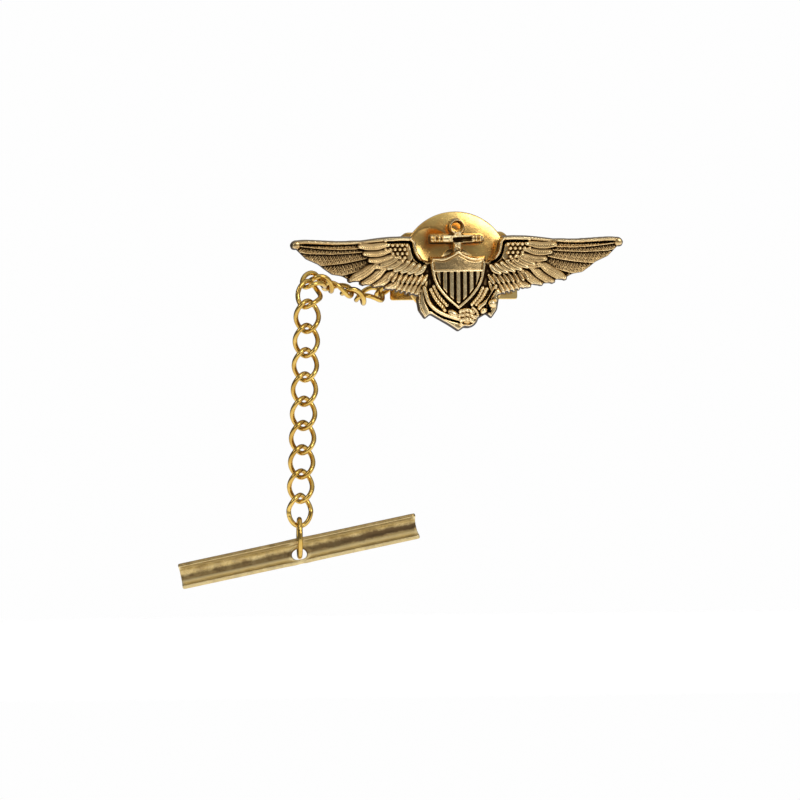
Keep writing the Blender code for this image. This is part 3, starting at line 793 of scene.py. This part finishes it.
def clutch_saddle(finish):
    """The housing: a strip bent into two legs and a roof, with the post's hole in it."""
    low, high = box_mm("clutch_housing")
    half, foot, top, wide = high.z, low.y, high.y, high.x
    t = SHEET / 2
    corner = 0.5
    path = [(-half + t, foot)]
    for i, sweep in enumerate(((180, 90), (90, 0))):
        cx = (-half + t + corner) if i == 0 else (half - t - corner)
        for angle in np.radians(np.linspace(sweep[0], sweep[1], 9)):
            path.append((cx + corner * math.cos(angle), top - t - corner + corner * math.sin(angle)))
    path.append((half - t, foot))
    at, length = along_path(path)
    roof = length / 2
    outline = [(0.0, -wide), (length, -wide), (length, wide), (0.0, wide)]
    mesh = punched("clutch_housing", [rounded_profile(outline, 0.15), circle((roof, 0.0), 0.68)], SHEET)

    def shape(s, w, n):
        a, b, na, nb = at(s)
        rolled = 0.07 * math.exp(-((math.hypot(s - roof, w) - 0.95) / 0.2) ** 2)
        return w, b + nb * (n + rolled), a + na * (n + rolled)

    ring_cuts = roof + np.arange(-1.4, 1.41, 0.12)
    cuts = np.concatenate((np.linspace(0.9, 3.0, 14), length - np.linspace(0.9, 3.0, 14), ring_cuts))
    mesh = bent(mesh, cuts, np.arange(-1.35, 1.36, 0.15), shape)
    shade(mesh, 40)
    return place("clutch_saddle", mesh, "clutch", "clutch_housing", finish, "clutch_gold")


# ---------------------------------------------------------------- chain and bar


def own_axes(node):
    """A node's centre and its long, middle and thin directions, from its mesh at rest."""
    points = np.unique(np.round([v.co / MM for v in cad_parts[node].data.vertices], 4), axis=0)
    centre = points.mean(0)
    values, vectors = np.linalg.eigh(np.cov((points - points.mean(0)).T))
    long, middle = vectors[:, 2], vectors[:, 1]
    if long[2] < 0:
        long = -long
    thin = np.cross(long, middle)
    return centre, middle, thin, long


def wire_loop(name, centres, radius, sides=16, seam=0.03):
    """A closed wire along points, with round section and a fine butt joint where its ends meet."""
    centres = np.asarray(centres, float)
    count = len(centres)
    tangents = np.roll(centres, -1, axis=0) - np.roll(centres, 1, axis=0)
    tangents /= np.linalg.norm(tangents, axis=1)[:, None]
    normal = np.cross(tangents[0], (0.3, 0.9, 0.2))
    normals = []
    for tangent in tangents:
        normal = normal - tangent * np.dot(normal, tangent)
        normal /= np.linalg.norm(normal)
        normals.append(normal)
    final = normals[0] - tangents[-1] * np.dot(normals[0], tangents[-1])
    final /= np.linalg.norm(final)
    gap = math.atan2(np.dot(np.cross(normals[-1], final), tangents[-1]), np.dot(normals[-1], final))
    points = []
    for i in range(count):
        side = np.cross(tangents[i], normals[i])
        away = min(i, count - i)
        r = radius * (1 - seam * (away == 0))
        for k in range(sides):
            angle = 2 * math.pi * k / sides + gap * i / (count - 1)
            points.append(centres[i] + r * (math.cos(angle) * normals[i] + math.sin(angle) * side))
    faces = []
    for i in range(count):
        j = (i + 1) % count
        for k in range(sides):
            m = (k + 1) % sides
            faces.append((i * sides + k, i * sides + m, j * sides + m, j * sides + k))
    mesh = mesh_from(name, points, faces)
    mesh.shade_smooth()
    return mesh


def seam_steps(count):
    """Angles round a loop, evenly spread, with a tight group at the butt joint."""
    tight = 0.02
    return np.concatenate(([0.0, tight], np.linspace(tight, 2 * math.pi - tight, count)[1:-1], [2 * math.pi - tight]))


def chain_pieces(finish):
    """Every twisted link and the ring on the clutch, each drawn again in the place of its CAD node."""
    wire = 0.23
    half_width, half_length, lean = 1.085, 1.48, math.radians(45)
    links = sorted(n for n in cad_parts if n.startswith("chain_link_"))
    for node in links + ["clutch_ring"]:
        centre, middle, thin, long = own_axes(node)
        start = math.radians(200)
        points = []
        for step in seam_steps(56):
            t = start + step
            lift = math.sin(t)
            turn = 0.0 if node == "clutch_ring" else lean * lift
            if node == links[-1] and lift < 0:
                turn = 0.0
            x = half_width * math.cos(t) * math.cos(turn)
            y = half_width * math.cos(t) * math.sin(turn)
            points.append(centre + middle * x + thin * y + long * half_length * lift)
        name = node.replace("chain_link", "curb_link") if node in links else "clutch_jump_ring"
        mesh = wire_loop(name, points, wire)
        body = node.replace("chain_", "") if node in links else node
        place(name, mesh, body, node, finish, "chain_gold")


def bar_ring(finish):
    """The oval jump ring between the chain and the bar."""
    centre, middle, thin, long = own_axes("bar_ring")
    start = math.radians(160)
    points = []
    for step in seam_steps(64):
        t = start + step
        points.append(centre + middle * 1.0 * math.cos(t) + long * 1.8 * math.sin(t))
    mesh = wire_loop("bar_jump_ring", points, 0.235)
    place("bar_jump_ring", mesh, "bar_ring", "bar_ring", finish, "chain_gold")


def buttonhole_bar(finish):
    """The half-round channel: sheet punched with its hole, bent across its width, with slightly pulled-in ends."""
    low, high = box_mm("t_bar")
    slope = math.radians(11.35)
    along = np.array((math.cos(slope), 0.0, math.sin(slope)))
    across = np.array((-math.sin(slope), 0.0, math.cos(slope)))
    length, width, depth = 23.2, 2.5, high.y - low.y
    radius = (width**2 / 4 + depth**2) / (2 * depth)
    half_angle = math.asin(width / 2 / radius)
    middle_radius = radius - BAR_SHEET / 2
    half = middle_radius * half_angle
    centre = np.array(((low.x + high.x) / 2, high.y, (low.z + high.z) / 2))
    hole_centre = np.array((-15.9, 0.0, -27.49)) - centre
    hole = (float(hole_centre @ along), float(hole_centre @ across))
    hole_loop = []
    for s, q in circle(hole, 0.72, 40):
        hole_loop.append((s, middle_radius * math.asin(q / radius)))
    hole_middle = middle_radius * math.asin(hole[1] / radius)
    end = length / 2
    notch = 0.14
    outline = [(-end, -half), (end, -half), (end - notch, -half * 0.35), (end - notch, half * 0.35), (end, half)]
    outline += [(-end, half), (-end + notch, half * 0.35), (-end + notch, -half * 0.35)]
    mesh = punched("buttonhole_bar", [rounded_profile(outline, 0.35), hole_loop], BAR_SHEET)

    def shape(s, t, n):
        away = math.hypot(s - hole[0], (t - hole_middle) * 0.9)
        near = math.exp(-((s - hole[0]) / 1.3) ** 2)
        burr = 0.09 * math.exp(-((away - 0.86) / 0.12) ** 2)
        angle = t / middle_radius * (1 + 0.025 * near)
        r = middle_radius - n - burr - 0.05 * near * math.cos(angle * 1.5)
        wave = 0.02 * math.sin(s * 1.7) + 0.012 * math.sin(s * 4.1 + t)
        spot = centre + along * s + across * (r * math.sin(angle))
        inward = radius - r * math.cos(angle) + wave * (1 - abs(t) / half)
        return spot[0], spot[1] - inward, spot[2]

    cuts_s = np.concatenate((np.arange(-end + 0.4, end, 0.4), hole[0] + np.arange(-1.3, 1.31, 0.08)))
    cuts_t = np.linspace(-half, half, 33)[1:-1]
    mesh = bent(mesh, cuts_s, cuts_t, shape)
    shade(mesh, 40)
    return place("buttonhole_bar", mesh, "bar", "t_bar", finish, "bar_gold")


# ---------------------------------------------------------------- finishes


class Nodes:
    """A small helper that adds and joins shader nodes."""

    def __init__(self, name):
        self.material = bpy.data.materials.new(name)
        self.material.use_nodes = True
        self.tree = self.material.node_tree
        self.shader = self.tree.nodes["Principled BSDF"]
        self.shader.inputs["Metallic"].default_value = 1.0
        self.place = self.add("ShaderNodeTexCoord").outputs["Object"]

    def add(self, kind, **settings):
        node = self.tree.nodes.new(kind)
        for key, value in settings.items():
            setattr(node, key, value)
        return node

    def join(self, source, target):
        self.tree.links.new(source, target)

    def stretched(self, scale, turn=(0.0, 0.0, 0.0)):
        """Object coordinates, turned and scaled."""
        mapping = self.add("ShaderNodeMapping")
        mapping.inputs["Scale"].default_value = scale
        mapping.inputs["Rotation"].default_value = [math.radians(a) for a in turn]
        self.join(self.place, mapping.inputs["Vector"])
        return mapping.outputs["Vector"]

    def along(self, direction, low, high):
        """How far a place lies between two distances, in millimetres, along a direction: 0 to 1."""
        reach = self.add("ShaderNodeVectorMath", operation="DOT_PRODUCT")
        self.join(self.place, reach.inputs[0])
        reach.inputs[1].default_value = direction
        share = self.add("ShaderNodeMapRange")
        share.inputs["From Min"].default_value = low * MM
        share.inputs["From Max"].default_value = high * MM
        self.join(reach.outputs["Value"], share.inputs["Value"])
        return share.outputs["Result"]

    def noise(self, per_mm, detail=4.0, vector=None, rough=0.55):
        """Noise with so many waves to a millimetre."""
        node = self.add("ShaderNodeTexNoise")
        node.inputs["Scale"].default_value = per_mm / MM
        node.inputs["Detail"].default_value = detail
        node.inputs["Roughness"].default_value = rough
        self.join(vector or self.place, node.inputs["Vector"])
        return node.outputs["Fac"]

    def ramp(self, source, stops):
        """A colour ramp with (position, colour) stops; a plain number is a grey."""
        node = self.add("ShaderNodeValToRGB")
        elements = node.color_ramp.elements
        while len(elements) < len(stops):
            elements.new(0.5)
        for element, (position, colour) in zip(elements, stops):
            element.position = position
            element.color = (*colour, 1.0) if isinstance(colour, tuple) else (colour, colour, colour, 1.0)
        self.join(source, node.inputs["Fac"])
        return node.outputs["Color"]

    def mix(self, share, first, second, blend="MIX"):
        """Two colours mixed by a share."""
        node = self.add("ShaderNodeMix", data_type="RGBA", blend_type=blend)
        for value, socket in ((share, node.inputs[0]), (first, node.inputs[6]), (second, node.inputs[7])):
            if isinstance(value, bpy.types.NodeSocket):
                self.join(value, socket)
            else:
                socket.default_value = value if isinstance(value, float) else (*value, 1.0)
        return node.outputs[2]

    def math(self, operation, first, second=0.0):
        """Arithmetic on sockets or numbers."""
        node = self.add("ShaderNodeMath", operation=operation)
        for value, socket in ((first, node.inputs[0]), (second, node.inputs[1])):
            if isinstance(value, bpy.types.NodeSocket):
                self.join(value, socket)
            else:
                socket.default_value = value
        return node.outputs[0]

    def bump(self, source, depth, strength=1.0, under=None):
        """A bump as deep as so many millimetres."""
        node = self.add("ShaderNodeBump")
        node.inputs["Strength"].default_value = strength
        node.inputs["Distance"].default_value = depth * MM
        self.join(source, node.inputs["Height"])
        if under is not None:
            self.join(under, node.inputs["Normal"])
        return node.outputs["Normal"]

    def finish(self, colour, roughness, normal):
        """Joins the three results to the shader."""
        self.join(colour, self.shader.inputs["Base Color"])
        self.join(roughness, self.shader.inputs["Roughness"])
        self.join(normal, self.shader.inputs["Normal"])
        return self.material


def struck_gold():
    """The emblem: gold, browned by patina in its hollows, with painted shade in its creases, a painted shadow along its
    lower edges and painted light on its upper edges and right wing; brightened by wear on its high places, with a fine
    sand grain.
    """
    m = Nodes("struck_gold")
    # The recess attribute holds the hollows' patina together with painted shade and painted light.
    recess = m.add("ShaderNodeAttribute", attribute_name="recess").outputs["Fac"]
    cloud = m.noise(0.8, 5.0)
    plain = m.ramp(cloud, [(0.3, (0.56, 0.37, 0.16)), (0.6, (0.72, 0.51, 0.24)), (0.8, (0.82, 0.61, 0.31))])
    # Browner, then near black: patina in the hollows, painted shade in the creases and a painted shadow along the lower
    # edges.
    tan = m.mix(m.ramp(recess, [(0.0, 0.0), (0.5, 0.75)]), plain, (0.24, 0.14, 0.055))
    darkened_by_patina_and_shade = m.mix(m.ramp(recess, [(0.35, 0.0), (0.9, 1.0)]), tan, (0.02, 0.009, 0.003))
    # Paler on the high places from wear, and on the right wing from painted light.
    wear_and_painted_light = m.mix(m.ramp(m.math("MULTIPLY", recess, -1.0), [(0.22, 0.0), (0.85, 0.85)]), darkened_by_patina_and_shade, (0.98, 0.78, 0.44))
    grain = m.noise(9.0, 3.0)
    rough = m.mix(m.ramp(recess, [(0.1, 0.0), (0.8, 1.0)]), (0.22, 0.22, 0.22), (0.5, 0.5, 0.5))
    rough = m.mix(m.ramp(m.noise(3.0), [(0.35, 0.0), (0.7, 0.5)]), rough, (0.36, 0.36, 0.36))
    normal = m.bump(grain, 0.01, 0.4)
    normal = m.bump(m.noise(1.8, 2.0), 0.05, 0.5, normal)
    return m.finish(wear_and_painted_light, rough, normal)


def polished_gold(name, colour, deep, roughness, scratch=0.5, turn=(0.0, 0.0, 0.0)):
    """Bright plating: cloudy colour, hairline scratches, and small rough patches."""
    m = Nodes(name)
    tint = m.mix(m.ramp(m.noise(0.7, 4.0), [(0.35, 0.0), (0.7, 1.0)]), colour, deep)
    hair = m.noise(1.0, 6.0, m.stretched((0.6, 9.0, 9.0), turn), 0.7)
    spots = m.ramp(m.noise(5.0, 2.0), [(0.62, 0.0), (0.75, 1.0)])
    tint = m.mix(m.math("MULTIPLY", spots, 0.35), tint, deep)
    grey = m.math("ADD", m.math("MULTIPLY", hair, 0.16), roughness - 0.06)
    rough = m.math("ADD", grey, m.math("MULTIPLY", spots, 0.12))
    normal = m.bump(hair, 0.01, scratch)
    normal = m.bump(m.noise(1.4, 2.0), 0.03, 0.25, normal)
    return m.finish(tint, rough, normal)


def worn_brass():
    """The bar: pale brass, mottled by tarnish, drawn lengthwise, with a painted dark reflection along the middle of its
    face, painted light on the walls inside its lips, and a darker upper lip.
    """
    m = Nodes("worn_brass")
    lengthwise = (0.0, 11.35, 0.0)
    drawn = m.noise(1.0, 6.0, m.stretched((0.5, 7.0, 7.0), lengthwise), 0.65)
    blotch = m.noise(1.1, 7.0, None, 0.65)
    plain = m.ramp(blotch, [(0.35, (0.31, 0.21, 0.08)), (0.52, (0.52, 0.38, 0.15)), (0.7, (0.7, 0.55, 0.27))])
    dots = m.ramp(m.noise(4.5, 4.0), [(0.58, 0.0), (0.7, 0.8)])
    tint = m.mix(dots, plain, (0.3, 0.19, 0.08))
    right = m.along((1.0, 0.0, 0.0), -25.0, -9.0)
    height = m.along((-0.1968, 0.0, 0.9804), -24.62, -22.12)
    # Painted dark reflection: a dark band along the middle of the bar's face, darker towards the right end.
    band = m.math("ADD", height, m.math("MULTIPLY", blotch, 0.24))
    band = m.math("SUBTRACT", band, m.math("MULTIPLY", right, 0.14))
    band = m.ramp(band, [(0.3, 0.0), (0.42, 1.0), (0.58, 1.0), (0.7, 0.0)])
    strength = m.math("ADD", m.math("MULTIPLY", right, 0.35), 0.6)
    tint = m.mix(m.math("MULTIPLY", band, strength), tint, (0.1, 0.062, 0.03))
    streaks = m.math("MULTIPLY", m.ramp(drawn, [(0.4, 0.0), (0.7, 0.3)]), m.math("SUBTRACT", 1.0, band))
    tint = m.mix(streaks, tint, (0.9, 0.78, 0.46))
    # Painted light: pale strips on the inner walls beside both lips.
    lower_wall_painted_light = m.ramp(height, [(0.0, 0.2), (0.1, 0.3), (0.15, 0.9), (0.27, 0.8), (0.36, 0.0)])
    upper_wall_painted_light = m.ramp(height, [(0.74, 0.0), (0.8, 0.9), (0.86, 0.9), (0.88, 0.0)])
    tint = m.mix(m.math("ADD", lower_wall_painted_light, upper_wall_painted_light), tint, (0.84, 0.71, 0.41))
    tint = m.mix(m.ramp(height, [(0.87, 0.0), (0.9, 0.75)]), tint, (0.3, 0.2, 0.08))
    rough = m.math("ADD", m.math("MULTIPLY", blotch, 0.45), m.math("MULTIPLY", drawn, 0.35))
    normal = m.bump(drawn, 0.02, 0.5)
    normal = m.bump(m.noise(2.6, 5.0), 0.03, 0.45, normal)
    return m.finish(tint, rough, normal)


# ---------------------------------------------------------------- stage


def pale_floor():
    """A wide pale floor below the object."""
    low, high = cad_box
    mesh = bpy.data.meshes.new("floor")
    work = bmesh.new()
    bmesh.ops.create_circle(work, cap_ends=True, segments=96, radius=2.0)
    work.to_mesh(mesh)
    work.free()
    floor = bpy.data.objects.new("floor", mesh)
    bpy.context.scene.collection.objects.link(floor)
    floor.location = (0.0, 0.0, low.z - 6 * MM)
    m = Nodes("pale_paper")
    m.shader.inputs["Metallic"].default_value = 0.0
    tone = m.ramp(m.noise(0.05, 3.0), [(0.3, 0.9), (0.7, 0.94)])
    m.join(tone, m.shader.inputs["Base Color"])
    m.shader.inputs["Roughness"].default_value = 0.9
    m.shader.inputs["Emission Color"].default_value = (1.0, 1.0, 1.0, 1.0)
    m.shader.inputs["Emission Strength"].default_value = 0.7
    distance = m.add("ShaderNodeVectorMath", operation="LENGTH")
    m.join(m.place, distance.inputs[0])
    m.join(m.ramp(distance.outputs["Value"], [(0.03, 1.0), (0.2, 0.0)]), m.shader.inputs["Alpha"])
    mesh.materials.append(m.material)


def studio_world():
    """A light tent: bright above, at the sides and below, with a dark opening where the viewer stands."""
    world = bpy.data.worlds.new("studio")
    bpy.context.scene.world = world
    world.use_nodes = True
    tree = world.node_tree
    background = tree.nodes["Background"]

    def add(kind, **settings):
        node = tree.nodes.new(kind)
        for key, value in settings.items():
            setattr(node, key, value)
        return node

    place = add("ShaderNodeTexCoord").outputs["Generated"]
    parts = add("ShaderNodeSeparateXYZ")
    tree.links.new(place, parts.inputs[0])

    def ramp(source, stops, low=-1.0, high=1.0):
        scaled = add("ShaderNodeMapRange")
        scaled.inputs["From Min"].default_value = low
        scaled.inputs["From Max"].default_value = high
        tree.links.new(source, scaled.inputs["Value"])
        node = add("ShaderNodeValToRGB")
        elements = node.color_ramp.elements
        while len(elements) < len(stops):
            elements.new(0.5)
        for element, (position, level) in zip(elements, stops):
            element.position = position
            element.color = (*level, 1.0) if isinstance(level, tuple) else (level, level, level, 1.0)
        tree.links.new(scaled.outputs["Result"], node.inputs["Fac"])
        return node.outputs["Color"]

    def multiply(first, second):
        node = add("ShaderNodeMix", data_type="RGBA", blend_type="MULTIPLY")
        node.inputs[0].default_value = 1.0
        tree.links.new(first, node.inputs[6])
        tree.links.new(second, node.inputs[7])
        return node.outputs[2]

    height = ramp(parts.outputs["Z"], [(0.0, 0.75), (0.35, 0.6), (0.5, 0.55), (0.62, 0.62), (0.85, 0.85)])
    opening = ramp(parts.outputs["Y"], [(0.0, 0.3), (0.012, 0.36), (0.06, 0.85), (0.25, 1.0), (0.55, 0.9), (0.8, 0.35)])
    sideways = ramp(parts.outputs["X"], [(0.0, 0.3), (0.3, 0.55), (0.5, 1.0), (0.75, 1.0), (1.0, 0.7)])
    tent = multiply(multiply(height, opening), sideways)
    ray = add("ShaderNodeLightPath").outputs["Is Camera Ray"]
    shown = add("ShaderNodeMix", data_type="RGBA")
    tree.links.new(ray, shown.inputs[0])
    tree.links.new(tent, shown.inputs[6])
    shown.inputs[7].default_value = (1.1, 1.1, 1.1, 1.0)
    tree.links.new(shown.outputs[2], background.inputs["Color"])
    background.inputs["Strength"].default_value = 0.9


def softbox(name, azimuth, elevation, distance, size, power):
    """A large soft lamp aimed at the object. Azimuth 0 is on the viewer's side and 90 on the right."""
    a, e = math.radians(azimuth), math.radians(elevation)
    away = Vector((math.sin(a) * math.cos(e), -math.cos(a) * math.cos(e), math.sin(e)))
    data = bpy.data.lights.new(name, "AREA")
    data.shape = "RECTANGLE"
    data.size, data.size_y = size
    data.energy = power
    lamp = bpy.data.objects.new(name, data)
    bpy.context.scene.collection.objects.link(lamp)
    middle = (cad_box[0] + cad_box[1]) / 2
    lamp.location = middle + away * distance
    lamp.rotation_mode = "QUATERNION"
    lamp.rotation_quaternion = away.to_track_quat("Z", "Y")
    lamp.visible_camera = False


def camera():
    """The camera stands level, a little to the left of the emblem's face, and is rolled slightly."""
    low, high = cad_box
    turn, roll = math.radians(CAMERA_TURN), math.radians(CAMERA_ROLL)
    target = (low + high) / 2
    target = Vector((target.x + 0.1 * MM, 0.0, target.z - 0.12 * MM))
    forward = Vector((math.sin(turn), math.cos(turn), 0.0))
    right = Vector((math.cos(turn), -math.sin(turn), 0.0))
    up = Vector((0.0, 0.0, 1.0))
    tilted_right = right * math.cos(roll) - up * math.sin(roll)
    tilted_up = right * math.sin(roll) + up * math.cos(roll)
    data = bpy.data.cameras.new("camera")
    data.lens = data.sensor_width * CAMERA_DISTANCE / CAMERA_SPAN
    data.clip_start, data.clip_end = 0.01, 10.0
    made = bpy.data.objects.new("camera", data)
    bpy.context.scene.collection.objects.link(made)
    axes = Matrix((tilted_right, tilted_up, -forward)).transposed().to_4x4()
    made.matrix_world = Matrix.Translation(target - forward * CAMERA_DISTANCE * MM) @ axes
    bpy.context.scene.camera = made


def main():
    yellow, amber = (0.75, 0.51, 0.14), (0.46, 0.26, 0.045)
    chain_gold = polished_gold("chain_gold", yellow, amber, 0.13, 0.05)
    clutch_gold = polished_gold("clutch_gold", (0.95, 0.7, 0.28), (0.8, 0.5, 0.15), 0.2, 0.5, (0.0, 40.0, 0.0))
    ear_gold = polished_gold("ear_gold", (0.93, 0.68, 0.27), (0.8, 0.5, 0.15), 0.2, 0.5)
    post_gold = polished_gold("post_gold", (0.9, 0.7, 0.36), (0.7, 0.5, 0.22), 0.25, 0.4)
    emblem(struck_gold())
    tack_post(post_gold)
    post_pad(post_gold)
    clutch_disc(polished_gold("disc_gold", (1.0, 0.7, 0.24), (0.92, 0.5, 0.14), 0.18, 0.08))
    clutch_saddle(clutch_gold)
    squeeze_ear(-1, ear_gold)
    squeeze_ear(1, ear_gold)
    chain_pieces(chain_gold)
    bar_ring(chain_gold)
    buttonhole_bar(worn_brass())
    pale_floor()
    studio_world()
    softbox("key", 24, 24, 0.35, (0.15, 0.12), 0.3)
    softbox("fill", -50, 30, 0.4, (0.12, 0.16), 0.16)
    camera()
    bpy.context.scene.view_settings.view_transform = "Standard"


main()
